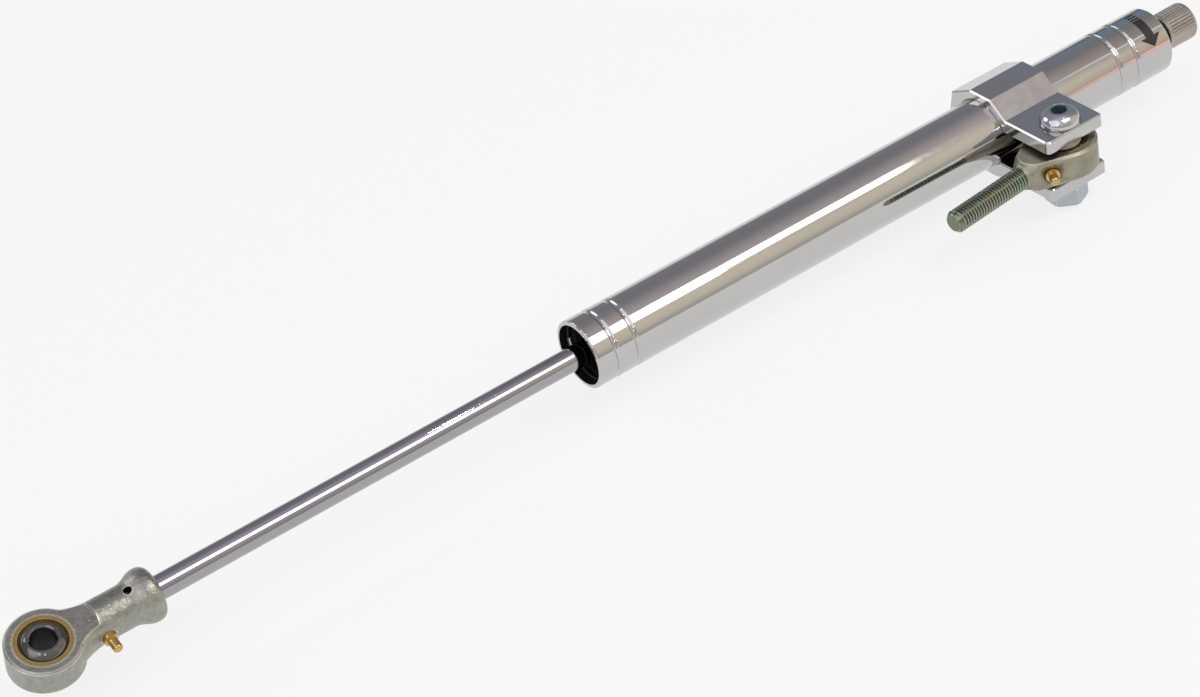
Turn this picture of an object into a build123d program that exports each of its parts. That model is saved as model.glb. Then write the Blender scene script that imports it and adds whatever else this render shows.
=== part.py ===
from build123d import *
import os
from math import acos, atan2, cos, hypot, radians, sin, sqrt

# Steering stabilizer: a sliding rod damper with a rod end at each end.
# Millimetres. The origin is the centre of the fork-end eye, +X runs along the
# damper to the knob, and +Z is the axis of the screw in the tube clamp.

# Rod ends, one size for both
eye_bore = 8.0
eye_radius = 12.0
eye_thickness = 10.5
ball_radius = 8.5
ball_width = 13.5
ball_chamfer = 0.5
race_radius = 9.2
race_mouth_radius = 7.7
race_chamfer_depth = 0.8
eye_edge = 0.7
running_clearance = 0.03
seat_clearance = 0.01

# Fork-end housing
fork_clock_angle = 18.4
fork_end_length = 37.7
fork_shank_radius = 6.9
fork_neck_blend = 24.0
fork_neck_sink = 0.12
collar_radius = 8.9
collar_nose = 3.3
collar_flare = 7.0
collar_round = 2.0
spotface_radius = 17.0
rod_thread_depth = 19.0
rod_hole_drill = 1.0
witness_hole = 2.6
witness_inset = 8.9
fork_nipple_position = 17.9
nipple_sink = 0.3

# Frame-end housing and its threaded stud
stud_diameter = 8.0
stud_tip = 53.0
stud_start = 20.0
stud_angle = 5.5
stud_chamfer = 1.1
frame_neck_radius = 4.6
frame_neck_end = 17.5
frame_neck_half_width = 5.0
frame_cone_start = 16.4
frame_cone_radius = 7.6
frame_cone_end = 19.2
frame_nipple_along = 12.4
frame_nipple_across = 6.6
frame_nipple_slant = 36.0

# Grease nipples
nipple_base_radius = 2.4
nipple_base_height = 1.5
nipple_radius = 1.6
nipple_height = 5.8
nipple_rounding = 0.9
nipple_stem_radius = 1.2
nipple_stem_depth = 2.4
nipple_pocket_gap = 0.2
nipple_pocket_height = 4.0

# Rod and stroke
rod_diameter = 8.0
rod_shown = 157.6
rod_chamfer = 0.8
rod_tip_chamfer = 0.6
rod_beyond_nut = 1.5
piston_seat_diameter = 6.0

# Outer tube
tube_diameter = 24.0
tube_wall = 1.5
tube_length = 247.5
tube_end_round = 0.7
first_groove_inset = 7.6
last_groove_inset = 15.4
groove_pitch = 7.8
groove_radius = 1.1
groove_depth = 0.55
groove_lip = 0.4
ring_wire = 1.2
ring_inset = 3.4
ring_opening = 40.0

# Rod guide and its seals
guide_inset = 4.8
guide_length = 19.2
guide_spigot = 4.0
guide_rod_gap = 0.3
guide_recess_depth = 4.0
guide_recess_wall = 1.7
wiper_radius = 7.0
wiper_depth = 3.6
wiper_face_recess = 0.4
wiper_lip_reach = 0.5
wiper_lip_wall = 0.7
wiper_shoulder = 1.6
wiper_heel = 0.6
bush_radius = 5.2
bush_length = 7.0
bush_wall = 1.4
seal_wall = 1.3
seal_back_wall = 1.2
seal_depth = 5.0
seal_leg = 0.9
seal_web = 1.4
seal_lip_gap = 0.5
seal_lip_rise = 0.3
seal_lip_wall = 0.6
seal_lip_root = 1.0
seal_lip_slope = 0.8
seal_spring_wire = 0.8
seal_spring_rise = 0.85
o_ring_wire = 1.8
o_ring_seat_width = 2.34

# Inner cylinder
by_pass_gap = 1.1
cylinder_wall = 0.9
port_diameter = 2.0
port_count = 4

# Piston group
piston_length = 11.0
piston_gap = 0.2
piston_chamfer = 0.4
band_width = 5.0
band_depth = 1.2
band_gap_angle = 6.0
piston_port_diameter = 1.8
piston_port_count = 6
shim_thickness = 0.3
shim_count = 3
shim_inset = 1.2
shim_step = 0.8
nut_m6_flats = 10.0
nut_m6_height = 6.0
nut_chamfer_height = 0.5
nut_chamfer_depth = 0.5
bumper_length = 5.6
bumper_inset = 1.3
bumper_gap = 1.0
bumper_edge = 0.8

# Valve body at the knob end
body_spigot = 4.0
body_annulus = 3.0
body_inset = 30.0
hub_radius = 4.0
hub_length = 6.5
boss_radius = 6.2
boss_length = 3.9
end_face_inset = 1.0
check_disc_inset = 0.7
check_disc_thickness = 0.5
check_disc_gap = 0.1
check_spring_wire = 0.7
check_spring_turns = 3
check_spring_gap = 0.15
hub_clip_inset = 0.6
hub_clip_depth = 0.5
hub_clip_reach = 1.1
clip_thickness = 0.7
clip_depth = 0.7

# Adjuster
spindle_radius = 2.5
spindle_bore = 1.2
detent_collar_radius = 3.9
detent_collar_length = 3.2
detent_count = 12
detent_ball = 2.0
detent_depth = 0.35
detent_collar_inset = 4.4
detent_spring_wire = 0.4
detent_spring_gap = 0.25
detent_spring_turns = 4
spindle_front_inset = 0.3
spindle_chamfer = 0.4
spindle_flat_depth = 0.5
metering_hole = 1.6
spindle_seal_wire = 1.3
spindle_seal_inset = 2.6
spindle_seal_seat = 1.56
spindle_clip_gap = 0.4
spindle_clip_mouth = 1.6
knob_radius = 6.75
knob_length = 12.7
knob_gap = 1.6
knob_socket = 8.8
knob_socket_gap = 0.5
knob_edge = 0.9
knob_near_edge = 0.3
knurl_count = 36
knurl_depth = 0.3
knurl_width = 0.42
knurl_inset = 1.2
knob_screw_diameter = 3.0
knob_screw_flats = 1.5
knob_screw_sink = 0.5
knob_screw_socket = 1.6
knob_screw_offset = 4.2

# Clamp and its fasteners
clamp_centre = 182.6
clamp_width = 24.6
clamp_top = 14.7
clamp_bottom = 16.1
clamp_back = 16.4
clamp_back_height = 3.0
clamp_shoulder = 14.6
clamp_shoulder_height = 10.2
clamp_flat_back = 4.7
clamp_flat_front = 5.4
ear_start = 12.4
ear_tip = 33.8
ear_thickness = 5.0
ear_middle = -2.5
clamp_screw_offset = 26.3
ear_corner = 1.6
clamp_edge = 0.5
screw_diameter = 8.0
screw_tip_chamfer = 0.8
screw_hole_clearance = 0.15
button_radius = 7.0
button_rim = 0.5
button_rim_inset = 0.3
button_height = 4.4
button_socket_flats = 5.0
button_socket_depth = 3.0
button_land_radius = 3.6
clamp_nut_flats = 13.0
clamp_nut_height = 6.5
clamp_nut_turn = 23.0
screw_beyond_nut = 0.8

# Places along the axis, worked out from the sizes
tube_radius = tube_diameter / 2
bore_radius = tube_radius - tube_wall
rod_radius = rod_diameter / 2
mouth = fork_end_length + rod_shown
tube_end = mouth + tube_length
guide_front = mouth + guide_inset
guide_shoulder = guide_front + guide_length
guide_back = guide_shoulder + guide_spigot
body_front = tube_end - body_inset
body_shoulder = body_front + body_spigot
body_full = body_shoulder + body_annulus
hub_front = body_front - hub_length
boss_end = tube_end - end_face_inset + boss_length
knob_start = boss_end + knob_gap
knob_end = knob_start + knob_length
bumper_front = guide_back + bumper_gap
shim_front = bumper_front + bumper_length
shim_stack = shim_count * shim_thickness
piston_front = shim_front + shim_stack
piston_back = piston_front + piston_length
rod_tip = piston_back + nut_m6_height + rod_beyond_nut
near_grooves = [mouth + first_groove_inset + i * groove_pitch for i in range(2)]
far_grooves = [tube_end - last_groove_inset - i * groove_pitch for i in range(2)]
near_port = guide_back + port_diameter
body_port = body_shoulder + body_annulus / 2
hub_clip_front = hub_front + hub_clip_inset
end_face = tube_end - end_face_inset
collar_front = end_face - detent_collar_inset
collar_back = collar_front + detent_collar_length
clip_front = collar_back + running_clearance
detent_place = (collar_front + collar_back) / 2
spindle_seal_place = collar_front - spindle_seal_inset

# Radii about the axis, worked out from the bore of the tube
cylinder_outer = bore_radius - by_pass_gap
cylinder_radius = cylinder_outer - cylinder_wall
spigot_radius = cylinder_radius - running_clearance
sliding_outer = bore_radius - running_clearance
seal_radius = cylinder_radius - seal_wall
piston_radius = cylinder_radius - piston_gap
bumper_radius = cylinder_radius - bumper_inset
check_disc_radius = cylinder_radius - check_disc_inset
check_port_circle = (hub_radius + check_disc_radius) / 2
seat_radius = piston_seat_diameter / 2
piston_hole = seat_radius + seat_clearance
piston_port_circle = (seat_radius + cylinder_radius - band_depth) / 2
rod_side = rod_radius + running_clearance
spindle_hole = spindle_radius + running_clearance
o_ring_centre = bore_radius - o_ring_wire / 2 - seat_clearance

# Planes of the two rod ends and of the clamp
fork_plane = Plane(
    origin=(0, 0, 0),
    x_dir=(1, 0, 0),
    z_dir=(0, -sin(radians(fork_clock_angle)), cos(radians(fork_clock_angle))),
)
frame_centre = (mouth + clamp_centre, -clamp_screw_offset, ear_middle)
stud_direction = (-cos(radians(stud_angle)), -sin(radians(stud_angle)), 0)
frame_plane = Plane(origin=frame_centre, x_dir=stud_direction, z_dir=(0, 0, 1))
ear_top = ear_middle + ball_width / 2 + ear_thickness
ear_bottom = ear_middle - ball_width / 2 - ear_thickness

os.makedirs("parts", exist_ok=True)


def section(*corners):
    """Closed outline in the plane of the axis, as (position, radius) corners."""
    with BuildSketch(Plane.XY) as outline:
        with BuildLine():
            Polyline(*corners, close=True)
        make_face()
    return outline.sketch


def ring_section(start, end, inner, outer):
    """Rectangular section of a ring between two places on the axis."""
    return section((start, inner), (end, inner), (end, outer), (start, outer))


def round_section(position, radius, wire):
    """Round section of a wire ring or a rubber ring."""
    with BuildSketch(Plane.XY) as outline:
        with Locations((position, radius)):
            Circle(wire / 2)
    return outline.sketch


def save(builder, label):
    """Name the finished piece and write it."""
    builder.part.label = label
    export_step(builder.part, f"parts/{label}.step")


def ball_and_race(plane):
    """Ball with its bore and flats, and the race that it turns in."""
    with BuildPart(plane) as ball:
        Sphere(ball_radius)
        Cylinder(ball_radius * 2, ball_width, mode=Mode.INTERSECT)
        Cylinder(eye_bore / 2, ball_width * 2, mode=Mode.SUBTRACT)
        flats = ball.edges().filter_by(GeomType.CIRCLE).sort_by(SortBy.RADIUS)[:2]
        chamfer(flats, ball_chamfer)
    with BuildPart(plane) as race:
        Cylinder(race_radius - seat_clearance, eye_thickness)
        for side in (1, -1):
            mouth_depth = eye_thickness / 2 - race_chamfer_depth / 2
            narrow = race_mouth_radius - race_chamfer_depth / 2
            with Locations((0, 0, side * mouth_depth)):
                Cone(
                    narrow if side > 0 else race_mouth_radius,
                    race_mouth_radius if side > 0 else narrow,
                    race_chamfer_depth,
                    mode=Mode.SUBTRACT,
                )
        Sphere(ball_radius + running_clearance, mode=Mode.SUBTRACT)
    return ball, race


def grease_nipple(plane, seat):
    """Brass nipple whose stem goes into the housing at a height above the plane."""
    with BuildPart(plane) as nipple:
        with Locations((0, 0, seat)):
            Cylinder(nipple_base_radius, nipple_base_height, align=(Align.CENTER, Align.CENTER, Align.MIN))
            Cylinder(nipple_radius, nipple_height, align=(Align.CENTER, Align.CENTER, Align.MIN))
        tip = nipple.faces().sort_by(Axis(plane.origin, plane.z_dir))[-1]
        fillet(tip.edges(), nipple_rounding)
        with Locations((0, 0, seat)):
            Cylinder(
                nipple_stem_radius - seat_clearance,
                nipple_stem_depth,
                align=(Align.CENTER, Align.CENTER, Align.MAX),
            )
    return nipple


def nipple_pocket(plane, seat):
    """Spot face and drilled hole that the nipple sits in."""
    with BuildPart(plane, mode=Mode.PRIVATE) as pocket:
        with Locations((0, 0, seat)):
            Cylinder(
                nipple_base_radius + nipple_pocket_gap,
                nipple_pocket_height,
                align=(Align.CENTER, Align.CENTER, Align.MIN),
            )
            Cylinder(nipple_stem_radius, nipple_stem_depth, align=(Align.CENTER, Align.CENTER, Align.MAX))
    return pocket.part


def hexagon_radius(flats):
    """Corner radius of a hexagon from its size across the flats."""
    return flats / sqrt(3)


# Outer tube: thin drawn tube with two pairs of rolled grooves.
# Each groove pushes the whole wall inward, so the bore carries a matching bead.
groove_centre = tube_radius + groove_radius - groove_depth
bead_radius = groove_radius + tube_wall
groove_centres = [(position, groove_centre) for position in near_grooves + far_grooves]
first_groove_place = near_grooves[0] - bead_radius
last_groove_place = far_grooves[0] + bead_radius
corner_side = (Align.MIN, Align.MIN)
with BuildPart() as outer_tube:
    with BuildSketch(Plane.XY) as tube_wall_section:
        with Locations((mouth, bore_radius)):
            Rectangle(tube_length, tube_wall, align=corner_side)
        with Locations(*groove_centres):
            Circle(bead_radius)
        with Locations((mouth, tube_radius)):
            Rectangle(tube_length, bead_radius * 2, align=corner_side, mode=Mode.SUBTRACT)
        fillet(tube_wall_section.vertices().group_by(Axis.Y)[-1].sort_by(Axis.X)[0], tube_end_round)
        fillet(tube_wall_section.vertices().group_by(Axis.Y)[-1].sort_by(Axis.X)[-1], tube_end_round)
        with Locations(*groove_centres):
            Circle(groove_radius, mode=Mode.SUBTRACT)
        lips = tube_wall_section.vertices().filter_by_position(
            Axis.X, first_groove_place, last_groove_place
        )
        fillet(lips.group_by(Axis.Y)[-1], groove_lip)
        with Locations((mouth + ring_inset, bore_radius)):
            Circle(ring_wire / 2 + running_clearance, mode=Mode.SUBTRACT)
    revolve(axis=Axis.X)
save(outer_tube, "outer_tube")

# Retaining ring: open wire ring in the bore of the mouth
with BuildPart() as retaining_ring:
    revolve(
        round_section(mouth + ring_inset, bore_radius, ring_wire),
        axis=Axis.X,
        revolution_arc=360 - ring_opening,
    )
save(retaining_ring, "retaining_ring")


def bead_cuts(positions):
    """Grooves that take the beads of the tube, with clearance."""
    radius = bead_radius + running_clearance
    return [round_section(position, groove_centre, 2 * radius) for position in positions]


# Rod guide: aluminium gland that the near grooves hold
guide_o_ring_place = sum(near_grooves) / 2
guide_hole = rod_radius + guide_rod_gap
wiper_front = guide_front + guide_recess_depth
wiper_back = wiper_front + wiper_depth
bush_front = wiper_back + bush_wall
seal_back = guide_back - seal_back_wall
seal_front = seal_back - seal_depth
with BuildPart() as rod_guide:
    revolve(ring_section(guide_front, guide_shoulder, guide_hole, sliding_outer), axis=Axis.X)
    revolve(ring_section(guide_shoulder, guide_back, guide_hole, spigot_radius), axis=Axis.X)
    recess = ring_section(mouth, wiper_front, 0, bore_radius - guide_recess_wall)
    revolve(recess, axis=Axis.X, mode=Mode.SUBTRACT)
    wiper_seat = ring_section(mouth, wiper_back, 0, wiper_radius)
    revolve(wiper_seat, axis=Axis.X, mode=Mode.SUBTRACT)
    bush_seat = ring_section(bush_front, bush_front + bush_length, 0, bush_radius)
    revolve(bush_seat, axis=Axis.X, mode=Mode.SUBTRACT)
    seal_seat = ring_section(seal_front, seal_back, 0, seal_radius)
    revolve(seal_seat, axis=Axis.X, mode=Mode.SUBTRACT)
    for cut in bead_cuts(near_grooves):
        revolve(cut, axis=Axis.X, mode=Mode.SUBTRACT)
    o_ring_seat = ring_section(
        guide_o_ring_place - o_ring_seat_width / 2,
        guide_o_ring_place + o_ring_seat_width / 2,
        o_ring_centre - o_ring_wire / 2 - seat_clearance,
        bore_radius,
    )
    revolve(o_ring_seat, axis=Axis.X, mode=Mode.SUBTRACT)
save(rod_guide, "rod_guide")

with BuildPart() as guide_o_ring:
    revolve(round_section(guide_o_ring_place, o_ring_centre, o_ring_wire), axis=Axis.X)
save(guide_o_ring, "guide_o_ring")

# Wiper: rubber ring with a lip that leans out over the rod
wiper_outer = wiper_radius - seat_clearance
with BuildPart() as wiper_ring:
    revolve(
        section(
            (wiper_back, rod_side + wiper_heel),
            (wiper_back, wiper_outer),
            (wiper_front + wiper_face_recess, wiper_outer),
            (wiper_front + wiper_face_recess, rod_side + wiper_shoulder),
            (wiper_front - wiper_lip_reach, rod_side + wiper_lip_wall),
            (wiper_front - wiper_lip_reach, rod_side),
            (wiper_front + wiper_heel, rod_side),
        ),
        axis=Axis.X,
    )
save(wiper_ring, "wiper_ring")

with BuildPart() as guide_bush:
    bush_outer = bush_radius - seat_clearance
    revolve(ring_section(bush_front, bush_front + bush_length, rod_side, bush_outer), axis=Axis.X)
save(guide_bush, "guide_bush")

# Rod seal: cup with a lip that the oil pressure and its spring press to the rod
with BuildPart() as rod_seal:
    seal_outer = seal_radius - seat_clearance
    seal_lip = seal_back - seal_leg
    revolve(
        section(
            (seal_front, rod_side + seal_lip_gap),
            (seal_front, seal_outer),
            (seal_back, seal_outer),
            (seal_back, seal_outer - seal_leg),
            (seal_front + seal_web, seal_outer - seal_leg),
            (seal_front + seal_web, rod_side + seal_lip_root),
            (seal_back - seal_lip_gap, rod_side + seal_lip_wall),
            (seal_lip, rod_side),
            (seal_lip - seal_lip_slope, rod_side + seal_lip_rise),
        ),
        axis=Axis.X,
    )
save(rod_seal, "rod_seal")

with BuildPart() as seal_spring:
    spring_centre = rod_side + seal_spring_rise + seal_spring_wire / 2
    revolve(round_section(seal_back - seal_lip_root, spring_centre, seal_spring_wire), axis=Axis.X)
save(seal_spring, "seal_spring")

# Inner cylinder: the piston runs in it, and oil by-passes round its outside
with BuildPart() as inner_cylinder:
    revolve(ring_section(guide_shoulder, body_shoulder, cylinder_radius, cylinder_outer), axis=Axis.X)
    with Locations(Plane.YZ.offset(near_port)):
        with PolarLocations(0, port_count):
            Cylinder(
                port_diameter / 2,
                cylinder_outer * 2,
                rotation=(0, 90, 0),
                align=(Align.CENTER, Align.CENTER, Align.MIN),
                mode=Mode.SUBTRACT,
            )
save(inner_cylinder, "inner_cylinder")

# Piston rod: ground rod with a turned-down seat for the piston
with BuildPart() as piston_rod:
    rod_start = fork_end_length - rod_thread_depth
    revolve(
        section(
            (rod_start, 0),
            (rod_start, rod_radius - rod_chamfer),
            (rod_start + rod_chamfer, rod_radius),
            (shim_front, rod_radius),
            (shim_front, seat_radius),
            (rod_tip - rod_tip_chamfer, seat_radius),
            (rod_tip, seat_radius - rod_tip_chamfer),
            (rod_tip, 0),
        ),
        axis=Axis.X,
    )
save(piston_rod, "piston_rod")

with BuildPart() as rebound_bumper:
    bumper_hole = rod_radius + seat_clearance
    revolve(ring_section(bumper_front, shim_front, bumper_hole, bumper_radius), axis=Axis.X)
    bumper_rims = rebound_bumper.edges().filter_by(GeomType.CIRCLE).sort_by(SortBy.RADIUS)[-2:]
    fillet(bumper_rims, bumper_edge)
save(rebound_bumper, "rebound_bumper")

# Valve shims: thin spring discs that grow towards the piston
with BuildPart() as valve_shims:
    for i in range(shim_count):
        start = shim_front + i * shim_thickness
        radius = piston_radius - shim_inset - (shim_count - 1 - i) * shim_step
        back = start + shim_thickness - seat_clearance
        revolve(ring_section(start, back, piston_hole, radius), axis=Axis.X)
save(valve_shims, "valve_shims")

# Piston: drilled through for oil, with a groove for its wear band
band_front = piston_front + (piston_length - band_width) / 2
with BuildPart() as piston:
    revolve(ring_section(piston_front, piston_back, piston_hole, piston_radius), axis=Axis.X)
    piston_rims = piston.edges().filter_by(GeomType.CIRCLE).sort_by(SortBy.RADIUS)[-2:]
    chamfer(piston_rims, piston_chamfer)
    band_seat = ring_section(
        band_front - running_clearance,
        band_front + band_width + running_clearance,
        cylinder_radius - band_depth - 2 * running_clearance,
        cylinder_radius,
    )
    revolve(band_seat, axis=Axis.X, mode=Mode.SUBTRACT)
    with Locations(Plane.YZ.offset(piston_front)):
        with PolarLocations(piston_port_circle, piston_port_count):
            Hole(piston_port_diameter / 2, depth=piston_length * 2)
save(piston, "piston")

# Wear band: split ring that slides in the cylinder and lets the piston turn
with BuildPart() as piston_band:
    revolve(
        ring_section(
            band_front,
            band_front + band_width,
            cylinder_radius - band_depth,
            cylinder_radius - running_clearance,
        ),
        axis=Axis.X,
        revolution_arc=360 - band_gap_angle,
    )
save(piston_band, "piston_band")

with BuildPart() as piston_nut:
    with BuildSketch(Plane.YZ.offset(piston_back)):
        RegularPolygon(hexagon_radius(nut_m6_flats), 6)
        Circle(piston_hole, mode=Mode.SUBTRACT)
    extrude(amount=nut_m6_height)
    nut_back = piston_back + nut_m6_height
    nut_rim = hexagon_radius(nut_m6_flats)
    nut_turning = section(
        (piston_back, 0),
        (piston_back, nut_rim - nut_chamfer_depth),
        (piston_back + nut_chamfer_height, nut_rim),
        (nut_back - nut_chamfer_height, nut_rim),
        (nut_back, nut_rim - nut_chamfer_depth),
        (nut_back, 0),
    )
    revolve(nut_turning, axis=Axis.X, mode=Mode.INTERSECT)
save(piston_nut, "piston_nut")

# Valve body: closes the knob end, meters the by-pass and carries the adjuster
body_o_ring_place = sum(far_grooves) / 2
collar_hole = detent_collar_radius + running_clearance
with BuildPart() as valve_body:
    revolve(
        section(
            (hub_front, spindle_hole),
            (hub_front, hub_radius),
            (body_front, hub_radius),
            (body_front, spigot_radius),
            (body_shoulder, spigot_radius),
            (body_shoulder, cylinder_outer),
            (body_full, cylinder_outer),
            (body_full, sliding_outer),
            (end_face, sliding_outer),
            (end_face, boss_radius),
            (boss_end, boss_radius),
            (boss_end, collar_hole),
            (collar_front, collar_hole),
            (collar_front, spindle_hole),
        ),
        axis=Axis.X,
    )
    for cut in bead_cuts(far_grooves):
        revolve(cut, axis=Axis.X, mode=Mode.SUBTRACT)
    o_ring_seat = ring_section(
        body_o_ring_place - o_ring_seat_width / 2,
        body_o_ring_place + o_ring_seat_width / 2,
        o_ring_centre - o_ring_wire / 2 - seat_clearance,
        bore_radius,
    )
    revolve(o_ring_seat, axis=Axis.X, mode=Mode.SUBTRACT)
    seal_seat = ring_section(
        spindle_seal_place - spindle_seal_seat / 2,
        spindle_seal_place + spindle_seal_seat / 2,
        spindle_radius,
        spindle_radius + spindle_seal_wire + 2 * seat_clearance,
    )
    revolve(seal_seat, axis=Axis.X, mode=Mode.SUBTRACT)
    clip_seat = ring_section(
        clip_front - running_clearance,
        clip_front + clip_thickness + running_clearance,
        detent_collar_radius,
        detent_collar_radius + clip_depth + running_clearance,
    )
    revolve(clip_seat, axis=Axis.X, mode=Mode.SUBTRACT)
    hub_clip_seat = ring_section(
        hub_clip_front - running_clearance,
        hub_clip_front + clip_thickness + running_clearance,
        hub_radius - hub_clip_depth,
        cylinder_radius,
    )
    revolve(hub_clip_seat, axis=Axis.X, mode=Mode.SUBTRACT)
    with Locations(Plane.YZ.offset(body_front)):
        with PolarLocations(check_port_circle, port_count, start_angle=45):
            Cylinder(
                port_diameter / 2,
                body_port - body_front + port_diameter / 2,
                align=(Align.CENTER, Align.CENTER, Align.MIN),
                mode=Mode.SUBTRACT,
            )
    with Locations(Plane.YZ.offset(body_port)):
        with PolarLocations(0, port_count, start_angle=45):
            Cylinder(
                port_diameter / 2,
                bore_radius,
                rotation=(0, 90, 0),
                align=(Align.CENTER, Align.CENTER, Align.MIN),
                mode=Mode.SUBTRACT,
            )
    with Locations((detent_place, 0, 0)):
        Cylinder(
            detent_ball / 2 + running_clearance,
            bore_radius,
            align=(Align.CENTER, Align.CENTER, Align.MIN),
            mode=Mode.SUBTRACT,
        )
save(valve_body, "valve_body")

with BuildPart() as body_o_ring:
    revolve(round_section(body_o_ring_place, o_ring_centre, o_ring_wire), axis=Axis.X)
save(body_o_ring, "body_o_ring")

# Check valve on the hub: disc, coil spring and clip
disc_front = body_front - check_disc_thickness
disc_hole = hub_radius + check_disc_gap
with BuildPart() as check_disc:
    revolve(ring_section(disc_front, body_front, disc_hole, check_disc_radius), axis=Axis.X)
save(check_disc, "check_disc")

with BuildPart() as check_clip:
    with BuildSketch(Plane.YZ.offset(hub_clip_front)):
        Circle(hub_radius + hub_clip_reach)
        Circle(hub_radius - hub_clip_depth + seat_clearance, mode=Mode.SUBTRACT)
        with Locations((0, -hub_radius)):
            Rectangle(hub_radius, hub_radius * 2, mode=Mode.SUBTRACT)
    extrude(amount=clip_thickness)
save(check_clip, "check_clip")

spring_back = disc_front - check_spring_wire / 2
spring_front = hub_clip_front + clip_thickness + check_spring_wire / 2
spring_radius = hub_radius + check_spring_gap + check_spring_wire / 2
spring_path = Plane.YZ.offset(spring_front) * Helix(
    pitch=(spring_back - spring_front) / check_spring_turns,
    height=spring_back - spring_front,
    radius=spring_radius,
)
with BuildPart() as check_spring:
    with BuildSketch(Plane(origin=spring_path @ 0, x_dir=(0, 1, 0), z_dir=spring_path % 0)):
        Rectangle(check_spring_wire, check_spring_wire)
    sweep(path=spring_path, is_frenet=True)
save(check_spring, "check_spring")

# Adjuster spindle: hollow nose with a metering hole, detent collar and stub for the knob
spindle_front = hub_front + spindle_front_inset
spindle_back = knob_start + knob_socket - knob_socket_gap
spindle_bore_end = body_port + port_diameter
with BuildPart() as adjuster_spindle:
    revolve(
        section(
            (spindle_front, spindle_bore),
            (spindle_front, spindle_radius),
            (collar_front, spindle_radius),
            (collar_front, detent_collar_radius),
            (collar_back, detent_collar_radius),
            (collar_back, spindle_radius),
            (spindle_back - spindle_chamfer, spindle_radius),
            (spindle_back, spindle_radius - spindle_chamfer),
            (spindle_back, 0),
            (spindle_bore_end, 0),
            (spindle_bore_end, spindle_bore),
        ),
        axis=Axis.X,
    )
    with Locations((body_port, 0, 0)):
        Cylinder(
            metering_hole / 2,
            spindle_radius * 2,
            rotation=(45, 0, 0),
            mode=Mode.SUBTRACT,
        )
    with Locations(Plane.YZ.offset(collar_front - 1)):
        flute_circle = detent_collar_radius + detent_ball / 2 - detent_depth
        with PolarLocations(flute_circle, detent_count, start_angle=90):
            Cylinder(
                detent_ball / 2 + running_clearance,
                detent_collar_length + 2,
                align=(Align.CENTER, Align.CENTER, Align.MIN),
                mode=Mode.SUBTRACT,
            )
    with Locations((knob_start + knob_socket / 2, spindle_radius, 0)):
        Box(knob_socket, spindle_flat_depth * 2, spindle_radius * 2, mode=Mode.SUBTRACT)
save(adjuster_spindle, "adjuster_spindle")

with BuildPart() as spindle_o_ring:
    seal_centre = spindle_radius + spindle_seal_wire / 2 + seat_clearance
    revolve(round_section(spindle_seal_place, seal_centre, spindle_seal_wire), axis=Axis.X)
save(spindle_o_ring, "spindle_o_ring")

with BuildPart() as spindle_clip:
    with BuildSketch(Plane.YZ.offset(clip_front)):
        Circle(detent_collar_radius + clip_depth)
        Circle(spindle_radius + spindle_clip_gap, mode=Mode.SUBTRACT)
        with Locations((0, -detent_collar_radius)):
            Rectangle(spindle_clip_mouth, detent_collar_radius, mode=Mode.SUBTRACT)
    extrude(amount=clip_thickness)
save(spindle_clip, "spindle_clip")

# Detent: ball pressed to the flutes by a spring that bears on the tube
ball_height = detent_collar_radius + detent_ball / 2 + running_clearance
with BuildPart() as detent_ball_piece:
    with Locations((detent_place, 0, ball_height)):
        Sphere(detent_ball / 2)
save(detent_ball_piece, "detent_ball")

detent_spring_foot = ball_height + detent_ball / 2 + detent_spring_gap
detent_spring_top = bore_radius - detent_spring_gap
detent_path = Plane.XY.offset(detent_spring_foot) * Pos(detent_place, 0, 0) * Helix(
    pitch=(detent_spring_top - detent_spring_foot) / detent_spring_turns,
    height=detent_spring_top - detent_spring_foot,
    radius=detent_ball / 2 - detent_spring_gap,
)
with BuildPart() as detent_spring:
    with BuildSketch(Plane(origin=detent_path @ 0, x_dir=(1, 0, 0), z_dir=detent_path % 0)):
        Rectangle(detent_spring_wire, detent_spring_wire)
    sweep(path=detent_path, is_frenet=True)
save(detent_spring, "detent_spring")

# Knob: straight-knurled cap on the spindle, with a dished face
with BuildPart() as knob:
    revolve(ring_section(knob_start, knob_end, 0, knob_radius), axis=Axis.X)
    rims = knob.edges().filter_by(GeomType.CIRCLE).group_by(Axis.X)
    chamfer(rims[0], knob_near_edge)
    fillet(rims[-1], knob_edge)
    with BuildSketch(Plane.YZ.offset(knob_start + knurl_inset)):
        with PolarLocations(knob_radius, knurl_count):
            Rectangle(knurl_width, knurl_width, rotation=45)
    extrude(amount=knob_length - 2 * knurl_inset, mode=Mode.SUBTRACT)
    socket = ring_section(knob_start, knob_start + knob_socket, 0, spindle_radius + seat_clearance)
    revolve(socket, axis=Axis.X, mode=Mode.SUBTRACT)
    with Locations((knob_start + knob_screw_offset, 0, 0)):
        Cylinder(
            knob_screw_diameter / 2,
            knob_radius * 2,
            rotation=(-90, 0, 0),
            align=(Align.CENTER, Align.CENTER, Align.MIN),
            mode=Mode.SUBTRACT,
        )
save(knob, "knob")

with BuildPart() as knob_screw:
    flat_place = spindle_radius - spindle_flat_depth + seat_clearance
    screw_face = knob_radius - knob_screw_sink
    with BuildSketch(Plane((knob_start + knob_screw_offset, flat_place, 0), z_dir=(0, 1, 0))):
        Circle(knob_screw_diameter / 2 - seat_clearance)
    extrude(amount=screw_face - flat_place)
    with BuildSketch(Plane((knob_start + knob_screw_offset, screw_face, 0), z_dir=(0, 1, 0))):
        RegularPolygon(hexagon_radius(knob_screw_flats), 6)
    extrude(amount=-knob_screw_socket, mode=Mode.SUBTRACT)
save(knob_screw, "knob_screw")


def save_balls(plane, name):
    """Ball and race of one rod end."""
    ball, race = ball_and_race(plane)
    save(ball, f"{name}_ball")
    save(race, f"{name}_race")


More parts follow.
